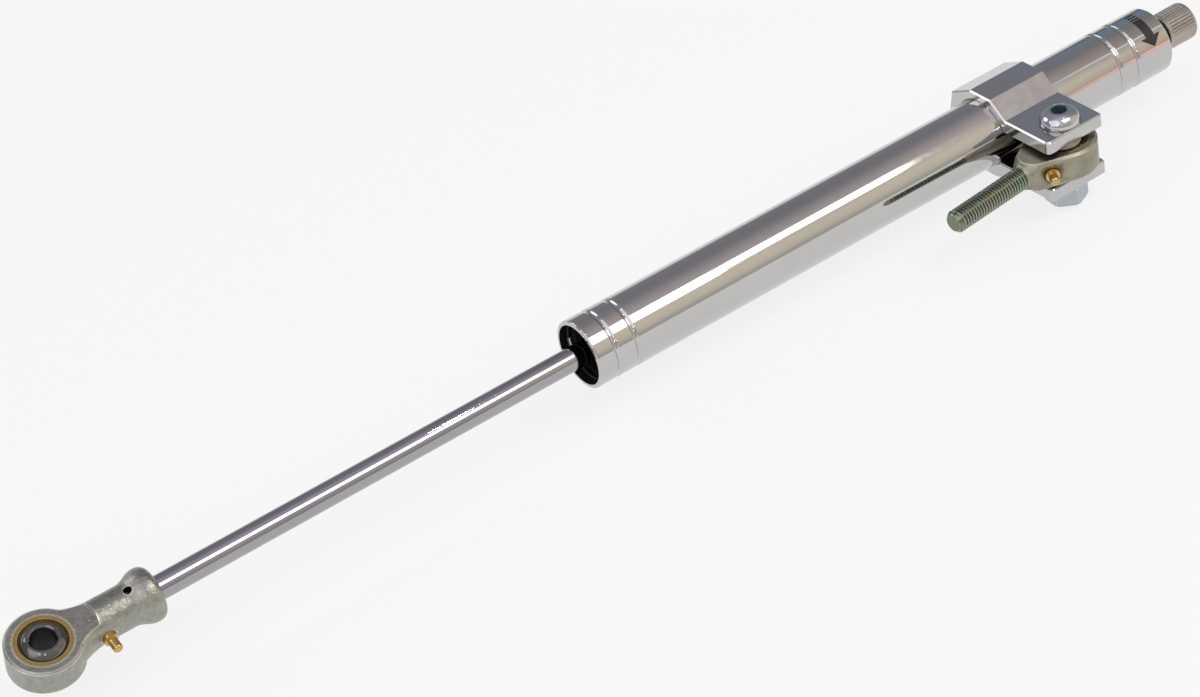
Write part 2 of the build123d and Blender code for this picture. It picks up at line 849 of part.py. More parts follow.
# Fork-end housing. A turned neck, shank and collar is cut flat on both faces round the eye,
# and the eye's disc joins it, so the flats end in an arc on the round shank.
fork_axis = Axis((0, 0, 0), (1, 0, 0))
neck_root = eye_radius - fork_neck_sink
blend_reach = neck_root + fork_neck_blend
blend_height = fork_shank_radius + fork_neck_blend
blend_along = sqrt(blend_reach**2 - blend_height**2)
neck_start = (blend_along * neck_root / blend_reach, blend_height * neck_root / blend_reach)
neck_end = (blend_along, fork_shank_radius)
fork_nipple_plane = Plane(
    origin=(fork_nipple_position, 0, 0), x_dir=(1, 0, 0), z_dir=-fork_plane.y_dir
)
fork_nipple_seat = fork_shank_radius - nipple_sink
collar_peak = fork_end_length - collar_nose
collar_foot = collar_peak - collar_flare
with BuildPart() as fork_end_housing:
    with BuildSketch(fork_plane):
        with BuildLine():
            Line((neck_start[0], 0), neck_start)
            RadiusArc(neck_start, neck_end, -fork_neck_blend)
            Line(neck_end, (collar_foot, fork_shank_radius))
            Spline(
                (collar_foot, fork_shank_radius),
                (collar_peak, collar_radius),
                tangents=[(1, 0), (1, 0)],
            )
            Spline(
                (collar_peak, collar_radius),
                (fork_end_length, collar_radius - collar_round),
                tangents=[(1, 0), (0.25, -1)],
            )
            Polyline(
                (fork_end_length, collar_radius - collar_round),
                (fork_end_length, 0),
                (neck_start[0], 0),
            )
        make_face()
    revolve(axis=fork_axis)
    for side in (1, -1):
        with Locations(fork_plane.offset(side * (eye_thickness / 2 + eye_radius / 2))):
            Cylinder(spotface_radius, eye_radius, mode=Mode.SUBTRACT)
    with Locations(fork_plane):
        Cylinder(eye_radius, eye_thickness)
    rims = fork_end_housing.edges().filter_by(GeomType.CIRCLE).filter_by(
        lambda edge: abs(edge.radius - eye_radius) < 0.01
    )
    chamfer(rims, eye_edge)
    with Locations(fork_plane):
        Cylinder(race_radius, eye_thickness * 2, mode=Mode.SUBTRACT)
    rod_hole_start = fork_end_length - rod_thread_depth - rod_hole_drill
    rod_hole = ring_section(rod_hole_start, fork_end_length, 0, rod_radius + seat_clearance)
    revolve(rod_hole, axis=fork_axis, mode=Mode.SUBTRACT)
    with Locations(fork_plane):
        with Locations((fork_end_length - witness_inset, 0, 0)):
            Cylinder(
                witness_hole / 2,
                collar_radius,
                align=(Align.CENTER, Align.CENTER, Align.MIN),
                mode=Mode.SUBTRACT,
            )
    add(nipple_pocket(fork_nipple_plane, fork_nipple_seat), mode=Mode.SUBTRACT)
save(fork_end_housing, "fork_end_housing")
save(grease_nipple(fork_nipple_plane, fork_nipple_seat), "fork_end_nipple")
save_balls(fork_plane, "fork_end")

# Frame-end housing: a flat eye with straight walls to a cone, then a threaded stud
frame_axis = Axis(frame_centre, stud_direction)
wall_reach = hypot(frame_neck_end, frame_neck_half_width)
wall_turn = atan2(frame_neck_half_width, frame_neck_end) + acos(eye_radius / wall_reach)
wall_start = (eye_radius * cos(wall_turn), eye_radius * sin(wall_turn))
nipple_lean = radians(frame_nipple_slant)
frame_nipple_foot = frame_plane.x_dir * frame_nipple_along + frame_plane.y_dir * frame_nipple_across
frame_nipple_plane = Plane(
    origin=frame_plane.origin + frame_nipple_foot,
    x_dir=(0, 0, 1),
    z_dir=frame_plane.y_dir * cos(nipple_lean) + frame_plane.x_dir * sin(nipple_lean),
)
with BuildPart() as frame_end_housing:
    with BuildSketch(frame_plane.offset(-eye_thickness / 2)):
        Circle(eye_radius)
        with BuildLine():
            Polyline(
                wall_start,
                (frame_neck_end, frame_neck_half_width),
                (frame_cone_end, frame_neck_radius),
                (frame_cone_end, -frame_neck_radius),
                (frame_neck_end, -frame_neck_half_width),
                (wall_start[0], -wall_start[1]),
                close=True,
            )
        make_face()
    extrude(amount=eye_thickness)
    top_rims = frame_end_housing.edges().filter_by(Plane.XY)
    chamfer(top_rims, eye_edge)
    with BuildSketch(frame_plane):
        with BuildLine():
            Polyline(
                (-eye_radius, 0),
                (-eye_radius, spotface_radius),
                (frame_cone_start, spotface_radius),
                (frame_cone_start, frame_cone_radius),
                (frame_cone_end, frame_neck_radius),
                (frame_cone_end, 0),
                close=True,
            )
        make_face()
    revolve(axis=frame_axis, mode=Mode.INTERSECT)
    with BuildSketch(frame_plane):
        with BuildLine():
            Polyline(
                (eye_radius, 0),
                (eye_radius, stud_diameter / 2),
                (frame_cone_end, frame_neck_radius),
                (stud_start, frame_neck_radius),
                (stud_start, stud_diameter / 2),
                (stud_tip - stud_chamfer, stud_diameter / 2),
                (stud_tip, stud_diameter / 2 - stud_chamfer),
                (stud_tip, 0),
                close=True,
            )
        make_face()
    revolve(axis=frame_axis)
    with Locations(frame_plane):
        Cylinder(race_radius, eye_thickness * 2, mode=Mode.SUBTRACT)
    add(nipple_pocket(frame_nipple_plane, 0), mode=Mode.SUBTRACT)
save(frame_end_housing, "frame_end_housing")
save(grease_nipple(frame_nipple_plane, 0), "frame_end_nipple")
save_balls(frame_plane, "frame_end")

# Tube clamp: one faceted bar, bored for the tube and slit between its two ears
screw_x = frame_centre[0]
screw_y = frame_centre[1]
with BuildPart() as tube_clamp:
    with BuildSketch(Plane.YZ.offset(screw_x - clamp_width / 2)):
        with BuildLine():
            Polyline(
                (-ear_tip, ear_top),
                (-ear_start, ear_top),
                (-clamp_flat_front, clamp_top),
                (clamp_flat_back, clamp_top),
                (clamp_shoulder, clamp_shoulder_height),
                (clamp_back, clamp_back_height),
                (clamp_back, -clamp_back_height),
                (clamp_shoulder, -clamp_shoulder_height),
                (clamp_flat_back, -clamp_bottom),
                (-clamp_flat_front, -clamp_bottom),
                (-ear_start, ear_bottom),
                (-ear_tip, ear_bottom),
                close=True,
            )
        make_face()
        with Locations((-ear_tip / 2, ear_middle)):
            Rectangle(ear_tip + ear_corner, ball_width, mode=Mode.SUBTRACT)
        Circle(tube_radius + seat_clearance, mode=Mode.SUBTRACT)
    extrude(amount=clamp_width)
    fillet(tube_clamp.edges().filter_by(Axis.Z).group_by(Axis.Y)[0], ear_corner)
    end_faces = tube_clamp.faces().filter_by(Axis.X)
    outlines = [edge for face in end_faces for edge in face.outer_wire().edges()]
    chamfer(outlines, clamp_edge)
    with Locations((screw_x, screw_y, 0)):
        Cylinder(screw_diameter / 2 + screw_hole_clearance, 4 * clamp_top, mode=Mode.SUBTRACT)
save(tube_clamp, "tube_clamp")

# Clamp screw: domed head with a hexagon socket, through both ears and the ball
screw_axis = Axis((screw_x, screw_y, 0), (0, 0, 1))
head_plane = Plane(origin=(screw_x, screw_y, ear_top), x_dir=(1, 0, 0), z_dir=(0, -1, 0))
screw_tip = ear_bottom - clamp_nut_height - screw_beyond_nut
shank_radius = screw_diameter / 2 - running_clearance
with BuildPart() as clamp_screw:
    with BuildSketch(head_plane):
        with BuildLine():
            Polyline(
                (button_land_radius, button_height),
                (0, button_height),
                (0, screw_tip - ear_top),
                (shank_radius - screw_tip_chamfer, screw_tip - ear_top),
                (shank_radius, screw_tip - ear_top + screw_tip_chamfer),
                (shank_radius, 0),
                (button_radius - button_rim_inset, 0),
                (button_radius, button_rim),
            )
            Spline(
                (button_radius, button_rim),
                (button_land_radius, button_height),
                tangents=[(-0.1, 1), (-1, 0.25)],
            )
        make_face()
    revolve(axis=screw_axis)
    with BuildSketch(Plane((screw_x, screw_y, ear_top + button_height))):
        RegularPolygon(hexagon_radius(button_socket_flats), 6)
    extrude(amount=-button_socket_depth, mode=Mode.SUBTRACT)
save(clamp_screw, "clamp_screw")

with BuildPart() as clamp_nut:
    nut_corner = hexagon_radius(clamp_nut_flats)
    with BuildSketch(Plane((screw_x, screw_y, ear_bottom))):
        RegularPolygon(nut_corner, 6, rotation=clamp_nut_turn)
        Circle(screw_diameter / 2, mode=Mode.SUBTRACT)
    extrude(amount=-clamp_nut_height)
    with BuildSketch(Plane(origin=(screw_x, screw_y, ear_bottom), x_dir=(1, 0, 0), z_dir=(0, -1, 0))):
        with BuildLine():
            Polyline(
                (0, 0),
                (nut_corner - nut_chamfer_depth, 0),
                (nut_corner, -nut_chamfer_height),
                (nut_corner, nut_chamfer_height - clamp_nut_height),
                (nut_corner - nut_chamfer_depth, -clamp_nut_height),
                (0, -clamp_nut_height),
                close=True,
            )
        make_face()
    revolve(axis=screw_axis, mode=Mode.INTERSECT)
save(clamp_nut, "clamp_nut")
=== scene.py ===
import math
import bmesh
import bpy
from mathutils import Matrix, Vector


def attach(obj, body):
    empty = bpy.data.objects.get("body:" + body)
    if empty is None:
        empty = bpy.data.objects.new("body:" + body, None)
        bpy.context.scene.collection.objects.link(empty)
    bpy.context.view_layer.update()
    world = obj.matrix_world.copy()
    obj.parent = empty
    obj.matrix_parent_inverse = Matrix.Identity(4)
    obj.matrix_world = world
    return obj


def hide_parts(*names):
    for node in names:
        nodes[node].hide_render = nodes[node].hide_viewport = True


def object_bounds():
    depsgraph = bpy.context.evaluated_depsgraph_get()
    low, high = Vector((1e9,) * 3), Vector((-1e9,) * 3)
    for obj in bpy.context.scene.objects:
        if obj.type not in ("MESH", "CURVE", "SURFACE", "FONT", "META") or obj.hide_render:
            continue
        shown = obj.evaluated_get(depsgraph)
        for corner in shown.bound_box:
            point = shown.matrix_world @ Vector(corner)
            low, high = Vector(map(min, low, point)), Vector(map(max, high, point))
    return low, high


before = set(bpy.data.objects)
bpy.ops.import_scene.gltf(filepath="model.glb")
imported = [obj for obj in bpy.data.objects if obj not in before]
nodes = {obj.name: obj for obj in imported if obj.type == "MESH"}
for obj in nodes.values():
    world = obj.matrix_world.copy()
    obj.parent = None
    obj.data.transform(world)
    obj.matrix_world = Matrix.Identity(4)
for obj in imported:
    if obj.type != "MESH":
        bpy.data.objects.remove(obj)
cadLow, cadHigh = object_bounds()
print("frame loaded with", len(nodes), "nodes")


# Camera at the photograph's viewpoint
cameraView = {
    "place": (-0.2181, -0.7385, 0.5969),
    "right": (0.7995, -0.5807, -0.1535),
    "up": (0.4433, 0.3981, 0.8031),
    "focalPixels": 3260.0,  # focal length in pixels of an image this wide
    "imageWidth": 1200.0,
    "sensorWidth": 36.0,
    "nearest": 0.05,
    "farthest": 20.0,
}


def makeCamera(view):
    data = bpy.data.cameras.new("camera")
    data.sensor_width = view["sensorWidth"]
    data.lens = view["focalPixels"] * view["sensorWidth"] / view["imageWidth"]
    data.clip_start = view["nearest"]
    data.clip_end = view["farthest"]
    right = Vector(view["right"]).normalized()
    back = right.cross(Vector(view["up"])).normalized()
    up = back.cross(right)
    camera = bpy.data.objects.new("camera", data)
    turn = Matrix((right, up, back)).transposed().to_4x4()
    camera.matrix_world = Matrix.Translation(view["place"]) @ turn
    bpy.context.scene.collection.objects.link(camera)
    bpy.context.scene.camera = camera


makeCamera(cameraView)
bpy.context.scene.view_settings.view_transform = "Standard"
print("camera placed")


# Studio: a room with a pale paper floor, a long window in two panes, small lamps that show as
# dots in the chrome, and two large lamps that fill in from the left and from behind
studio = {
    "floorDepth": 0.0015,  # below the lowest point of the part
    "floorSize": 12.0,
    "paper": (0.82, 0.82, 0.82),
    "paperRoughness": 0.9,
    "paperGlow": 0.78,  # share of plain white that the camera and reflections see
    # Walls: angle about the part's long axis, 0 level in front and 90 overhead, then the colour.
    # The rod shows the left one, the tube the middle one, and the end past the clamp the right one.
    "walls": {
        "left": [
            (-180, (0.62, 0.62, 0.62)), (-10, (0.60, 0.60, 0.58)), (0, (0.42, 0.42, 0.43)),
            (16, (0.58, 0.55, 0.55)), (34, (0.76, 0.68, 0.66)), (82, (0.70, 0.63, 0.80)),
            (92, (0.64, 0.59, 0.70)), (103, (0.48, 0.46, 0.54)), (114, (0.36, 0.36, 0.40)),
            (150, (0.31, 0.31, 0.34)), (170, (0.36, 0.36, 0.39)), (180, (1.0, 1.0, 1.0)),
        ],
        "middle": [
            (-180, (0.62, 0.62, 0.62)), (-10, (0.60, 0.60, 0.58)), (0, (0.52, 0.51, 0.46)),
            (8, (0.62, 0.60, 0.53)), (18, (0.84, 0.76, 0.63)), (38, (0.92, 0.83, 0.69)),
            (72, (0.62, 0.54, 0.55)), (92, (0.48, 0.43, 0.45)), (112, (0.32, 0.31, 0.33)),
            (130, (0.28, 0.27, 0.31)), (168, (0.29, 0.29, 0.32)), (180, (1.0, 1.0, 1.0)),
        ],
        "right": [
            (-180, (0.62, 0.62, 0.62)), (0, (0.60, 0.58, 0.56)), (1, (1.75, 0.80, 0.60)),
            (5, (1.75, 0.80, 0.60)), (7, (0.70, 0.60, 0.48)), (36, (0.90, 0.80, 0.65)),
            (55, (0.66, 0.61, 0.56)), (59, (0.62, 0.58, 0.54)), (60, (1.20, 1.18, 1.15)),
            (63, (1.20, 1.18, 1.15)), (64, (0.50, 0.46, 0.44)), (84, (0.44, 0.38, 0.36)),
            (112, (0.30, 0.29, 0.29)), (128, (0.26, 0.30, 0.35)), (150, (0.25, 0.32, 0.44)),
            (172, (0.16, 0.18, 0.21)), (180, (1.0, 1.0, 1.0)),
        ],
    },
    "wallEdges": [(0.375, 0.395), (0.535, 0.560)],  # share of a direction that lies along the part
    "windowPanes": [
        {"place": (0.47, -0.494, 0.764), "size": (0.46, 0.40), "power": 1.85},
        {"place": (0.775, -0.458, 0.786), "size": (0.15, 0.30), "power": 0.44},
    ],
    "smallLamps": [(-0.73, -0.78, 0.54), (-0.38, -1.04, 0.47), (0.60, -0.15, 1.18)],
    "smallLampSize": 0.030,
    "smallLampPower": 0.28,
    "warmLamps": [(-1.18, -0.07, 0.186), (-0.50, 0.28, 0.77)],
    "warmLampPower": 0.20,
    "warmColour": (1.0, 0.45, 0.36),
    "aim": (0.28, 0.0, 0.0),  # point on the part that the lamps face
    "wallFill": {"place": (-1.3, -0.4, 1.5), "size": 2.4, "power": 9},
    "backFill": {"place": (-0.6, 1.4, 1.0), "size": 1.0, "power": 4},
}


def addNode(tree, kind, **settings):
    node = tree.nodes.new(kind)
    for name, value in settings.items():
        setattr(node, name, value)
    return node


def compute(tree, operation, *values, clamped=False):
    node = addNode(tree, "ShaderNodeMath", operation=operation, use_clamp=clamped)
    for socket, value in zip(node.inputs, values):
        if isinstance(value, (int, float)):
            socket.default_value = value
        else:
            tree.links.new(value, socket)
    return node.outputs[0]


def mixColours(tree, factor, first, second):
    mix = addNode(tree, "ShaderNodeMix", data_type="RGBA")
    tree.links.new(factor, mix.inputs[0])
    for socket, colour in ((mix.inputs[6], first), (mix.inputs[7], second)):
        if isinstance(colour, tuple):
            socket.default_value = (*colour, 1)
        else:
            tree.links.new(colour, socket)
    return mix.outputs[2]


# One wall of the room as a colour ramp over the angle about the part's long axis
def makeWall(tree, turnShare, bands):
    ramp = addNode(tree, "ShaderNodeValToRGB")
    tree.links.new(turnShare, ramp.inputs[0])
    stops = ramp.color_ramp.elements
    stops.remove(stops[-1])  # leaves one stop, which the first band takes
    for number, (angle, colour) in enumerate(bands):
        at = (angle + 180) / 360
        stop = stops[0] if number == 0 else stops.new(at)
        stop.position = at
        stop.color = (*colour, 1)
    return ramp.outputs["Color"]


def makeRoom(room):
    world = bpy.data.worlds.new("room")
    bpy.context.scene.world = world
    world.use_nodes = True
    tree = world.node_tree
    tree.nodes.clear()
    direction = addNode(tree, "ShaderNodeTexCoord")
    split = addNode(tree, "ShaderNodeSeparateXYZ")
    tree.links.new(direction.outputs["Generated"], split.inputs[0])
    front = compute(tree, "MULTIPLY", split.outputs["Y"], -1.0)
    turn = compute(tree, "ARCTAN2", split.outputs["Z"], front)
    turnShare = compute(tree, "MULTIPLY_ADD", turn, 0.5 / math.pi, 0.5)  # a whole turn becomes 0 to 1
    walls = [makeWall(tree, turnShare, bands) for bands in room["walls"].values()]
    colour = walls[0]
    for wall, (low, high) in zip(walls[1:], room["wallEdges"]):
        slope = 1 / (high - low)
        passed = compute(tree, "MULTIPLY_ADD", split.outputs["X"], slope, -low * slope, clamped=True)
        colour = mixColours(tree, passed, colour, wall)
    light = addNode(tree, "ShaderNodeBackground")
    tree.links.new(colour, light.inputs["Color"])
    out = addNode(tree, "ShaderNodeOutputWorld")
    tree.links.new(light.outputs[0], out.inputs["Surface"])


def makeFloor(room):
    half = room["floorSize"] / 2
    height = cadLow.z - room["floorDepth"]
    mesh = bpy.data.meshes.new("floor")
    corners = [(x * half, y * half, height) for x, y in ((-1, -1), (1, -1), (1, 1), (-1, 1))]
    mesh.from_pydata(corners, [], [(0, 1, 2, 3)])
    floor = bpy.data.objects.new("floor", mesh)
    bpy.context.scene.collection.objects.link(floor)
    paper = bpy.data.materials.new("paper")
    paper.use_nodes = True
    tree = paper.node_tree
    shader = tree.nodes["Principled BSDF"]
    shader.inputs["Base Color"].default_value = (*room["paper"], 1)
    shader.inputs["Roughness"].default_value = room["paperRoughness"]
    shader.inputs["Specular IOR Level"].default_value = 0.0
    glow = addNode(tree, "ShaderNodeEmission")
    glow.inputs["Color"].default_value = (1, 1, 1, 1)
    rays = addNode(tree, "ShaderNodeLightPath")
    seen = compute(tree, "MAXIMUM", rays.outputs["Is Camera Ray"], rays.outputs["Is Glossy Ray"])
    seen = compute(tree, "MAXIMUM", seen, rays.outputs["Is Transmission Ray"])
    share = compute(tree, "MULTIPLY", seen, room["paperGlow"])
    mix = addNode(tree, "ShaderNodeMixShader")
    tree.links.new(share, mix.inputs[0])
    tree.links.new(shader.outputs[0], mix.inputs[1])
    tree.links.new(glow.outputs[0], mix.inputs[2])
    tree.links.new(mix.outputs[0], tree.nodes["Material Output"].inputs["Surface"])
    mesh.materials.append(paper)


def makeLamp(name, lampPlan, target):
    data = bpy.data.lights.new(name, "AREA")
    data.energy = lampPlan["power"]
    data.color = lampPlan.get("colour", (1, 1, 1))
    if isinstance(lampPlan["size"], tuple):
        data.shape = "RECTANGLE"
        data.size, data.size_y = lampPlan["size"]
    else:
        data.shape = "DISK"
        data.size = lampPlan["size"]
    lamp = bpy.data.objects.new(name, data)
    lamp.location = lampPlan["place"]
    lamp.rotation_euler = (Vector(target) - lamp.location).to_track_quat("-Z", "Y").to_euler()
    bpy.context.scene.collection.objects.link(lamp)


makeRoom(studio)
makeFloor(studio)
for number, pane in enumerate(studio["windowPanes"], 1):
    across = (pane["place"][0], 0, 0)  # straight across, so that its long side lies along the part
    makeLamp(f"windowPane{number}", pane, across)
smallLamp = {"size": studio["smallLampSize"], "power": studio["smallLampPower"]}
for number, place in enumerate(studio["smallLamps"], 1):
    makeLamp(f"smallLamp{number}", {**smallLamp, "place": place}, studio["aim"])
warmLamp = {**smallLamp, "power": studio["warmLampPower"], "colour": studio["warmColour"]}
for number, place in enumerate(studio["warmLamps"], 1):
    makeLamp(f"warmLamp{number}", {**warmLamp, "place": place}, studio["aim"])
for name in ("wallFill", "backFill"):
    makeLamp(name, studio[name], studio["aim"])
print("studio lit")


# Shader node groups that the materials share. Lengths in them are metres.
groupDetail = {
    "edgeSamples": 4,
    "patchDetail": 4,
    "patchRoughness": 0.6,
    "lineDetail": 2,
    "castDetail": 3,
    "castWeights": {"Grain": 0.35, "Swell": 1.0},
}


def makeGroup(name, inputs, outputs):
    group = bpy.data.node_groups.new(name, "ShaderNodeTree")
    for label, value in inputs.items():
        kind = "NodeSocketVector" if isinstance(value, tuple) else "NodeSocketFloat"
        group.interface.new_socket(name=label, in_out="INPUT", socket_type=kind).default_value = value
    for label in outputs:
        group.interface.new_socket(name=label, in_out="OUTPUT", socket_type="NodeSocketFloat")
    return group, addNode(group, "NodeGroupInput"), addNode(group, "NodeGroupOutput")


# Mask that is bright along edges, where a rounded normal leaves the real one; the finishes paint edge
# highlights and rubbed wear with it
def makeEdgeWearAndSheen():
    group, given, out = makeGroup("edgeWearAndSheen", {"Radius": 0.0004, "Gain": 4.0}, ["Mask"])
    bevel = addNode(group, "ShaderNodeBevel", samples=groupDetail["edgeSamples"])
    group.links.new(given.outputs["Radius"], bevel.inputs["Radius"])
    surface = addNode(group, "ShaderNodeNewGeometry")
    turned = addNode(group, "ShaderNodeVectorMath", operation="DOT_PRODUCT")
    group.links.new(bevel.outputs[0], turned.inputs[0])
    group.links.new(surface.outputs["Normal"], turned.inputs[1])
    bent = compute(group, "SUBTRACT", 1.0, turned.outputs["Value"])
    strong = compute(group, "MULTIPLY", bent, given.outputs["Gain"], clamped=True)
    group.links.new(strong, out.inputs["Mask"])
    return group


# Mask of soft patches
def makePatchyTone():
    group, given, out = makeGroup("patchyTone", {"Scale": 80.0, "Contrast": 2.0}, ["Mask"])
    place = addNode(group, "ShaderNodeTexCoord")
    noise = addNode(group, "ShaderNodeTexNoise")
    noise.inputs["Detail"].default_value = groupDetail["patchDetail"]
    noise.inputs["Roughness"].default_value = groupDetail["patchRoughness"]
    group.links.new(place.outputs["Object"], noise.inputs["Vector"])
    group.links.new(given.outputs["Scale"], noise.inputs["Scale"])
    centred = compute(group, "SUBTRACT", noise.outputs[0], 0.5)
    spread = compute(group, "MULTIPLY_ADD", centred, given.outputs["Contrast"], 0.5, clamped=True)
    group.links.new(spread, out.inputs["Mask"])
    return group


# Height of fine lines, drawn out along or across the part by the two rates
def makeDrawnLines():
    group, given, out = makeGroup("drawnLines", {"Along": 12.0, "Across": 9000.0}, ["Height"])
    place = addNode(group, "ShaderNodeTexCoord")
    split = addNode(group, "ShaderNodeSeparateXYZ")
    join = addNode(group, "ShaderNodeCombineXYZ")
    group.links.new(place.outputs["Object"], split.inputs[0])
    for label, rate in (("X", "Along"), ("Y", "Across"), ("Z", "Across")):
        stretched = compute(group, "MULTIPLY", split.outputs[label], given.outputs[rate])
        group.links.new(stretched, join.inputs[label])
    noise = addNode(group, "ShaderNodeTexNoise")
    noise.inputs["Scale"].default_value = 1.0
    noise.inputs["Detail"].default_value = groupDetail["lineDetail"]
    group.links.new(join.outputs[0], noise.inputs["Vector"])
    group.links.new(noise.outputs[0], out.inputs["Height"])
    return group


# Height of a cast surface: fine grain on a slower swell
def makeCastSkin():
    group, given, out = makeGroup("castSkin", {"Grain": 1500.0, "Swell": 220.0}, ["Height"])
    place = addNode(group, "ShaderNodeTexCoord")
    heights = []
    for rate, weight in groupDetail["castWeights"].items():
        noise = addNode(group, "ShaderNodeTexNoise")
        noise.inputs["Detail"].default_value = groupDetail["castDetail"]
        group.links.new(place.outputs["Object"], noise.inputs["Vector"])
        group.links.new(given.outputs[rate], noise.inputs["Scale"])
        heights.append(compute(group, "MULTIPLY", noise.outputs[0], weight))
    group.links.new(compute(group, "ADD", *heights), out.inputs["Height"])
    return group


# Mask of a bore: nearer than Radius to the axis through Centre, and past From along it. The finishes
# paint shade into bores and sockets with it, and oil stain as well in the tube
def makeHoleShadeAndStain():
    inputs = {"Centre": (0.0, 0.0, 0.0), "Axis": (0.0, 0.0, 1.0), "Radius": 0.004, "From": -1.0}
    group, given, out = makeGroup("insideHole", inputs, ["Mask"])
    place = addNode(group, "ShaderNodeTexCoord")
    offset = addNode(group, "ShaderNodeVectorMath", operation="SUBTRACT")
    group.links.new(place.outputs["Object"], offset.inputs[0])
    group.links.new(given.outputs["Centre"], offset.inputs[1])
    sideways = addNode(group, "ShaderNodeVectorMath", operation="CROSS_PRODUCT")
    along = addNode(group, "ShaderNodeVectorMath", operation="DOT_PRODUCT")
    for measure in (sideways, along):
        group.links.new(offset.outputs[0], measure.inputs[0])
        group.links.new(given.outputs["Axis"], measure.inputs[1])
    reach = addNode(group, "ShaderNodeVectorMath", operation="LENGTH")
    group.links.new(sideways.outputs[0], reach.inputs[0])
    near = compute(group, "LESS_THAN", reach.outputs["Value"], given.outputs["Radius"])
    above = compute(group, "GREATER_THAN", along.outputs["Value"], given.outputs["From"])
    group.links.new(compute(group, "MULTIPLY", near, above), out.inputs["Mask"])
    return group


edgeWearAndSheen = makeEdgeWearAndSheen()
patchyTone = makePatchyTone()
drawnLines = makeDrawnLines()
castSkin = makeCastSkin()
insideHole = makeHoleShadeAndStain()
print("shader groups ready")


def placeGroup(tree, group, **values):
    node = addNode(tree, "ShaderNodeGroup", node_tree=group)
    for label, value in values.items():
        node.inputs[label].default_value = value
    return node.outputs[0]


def spreadValue(tree, factor, low, high):
    spread = addNode(tree, "ShaderNodeMapRange")
    tree.links.new(factor, spread.inputs["Value"])
    spread.inputs["To Min"].default_value = low
    spread.inputs["To Max"].default_value = high
    return spread.outputs[0]


plainLook = {  # what a finish has where it names nothing else
    "metallic": 1.0,
    "contrast": 2.0,
    "wornAndSheenGain": 4.0,
    "smudgeScale": 260.0,
    "smudgeContrast": 2.5,
    "holeRoughness": 0.55,
}


def makeFinish(name, given):
    look = {**plainLook, **given}
    material = bpy.data.materials.new(name)
    material.use_nodes = True
    tree = material.node_tree
    shader = tree.nodes["Principled BSDF"]
    shader.inputs["Metallic"].default_value = look["metallic"]
    patches = placeGroup(tree, patchyTone, Scale=look["patchScale"], Contrast=look["contrast"])
    colour = mixColours(tree, patches, look["colour"], look["tint"])
    # Edge colour: painted highlight along rims, corners and thread crests, with rubbed wear on the
    # castings
    if "wornAndSheenColour" in look:
        wornAndSheen = placeGroup(tree, edgeWearAndSheen, Radius=look["wornAndSheenRadius"], Gain=look["wornAndSheenGain"])
        colour = mixColours(tree, wornAndSheen, colour, look["wornAndSheenColour"])
    smudges = placeGroup(tree, patchyTone, Scale=look["smudgeScale"], Contrast=look["smudgeContrast"])
    roughness = spreadValue(tree, smudges, *look["roughness"])
    # Painted shade inside bores and sockets: darker colour and duller surface there
    if "hole" in look:
        inside = placeGroup(tree, insideHole, **look["hole"])
        colour = mixColours(tree, inside, colour, look["holeShadeAndStainColour"])
        dull = compute(tree, "MULTIPLY", inside, look["holeRoughness"])
        roughness = compute(tree, "MAXIMUM", roughness, dull)
    tree.links.new(colour, shader.inputs["Base Color"])
    tree.links.new(roughness, shader.inputs["Roughness"])
    if "bump" in look:
        group, values, distance = look["bump"]
        bump = addNode(tree, "ShaderNodeBump")
        bump.inputs["Distance"].default_value = distance
        tree.links.new(placeGroup(tree, group, **values), bump.inputs["Height"])
        tree.links.new(bump.outputs[0], shader.inputs["Normal"])
    return material


forkTurn = math.radians(18.4)  # the fork end is turned about the rod
forkNormal = (0.0, -math.sin(forkTurn), math.cos(forkTurn))
frameEye = (0.3779, -0.0263, -0.0025)  # centre of the ball in the frame end
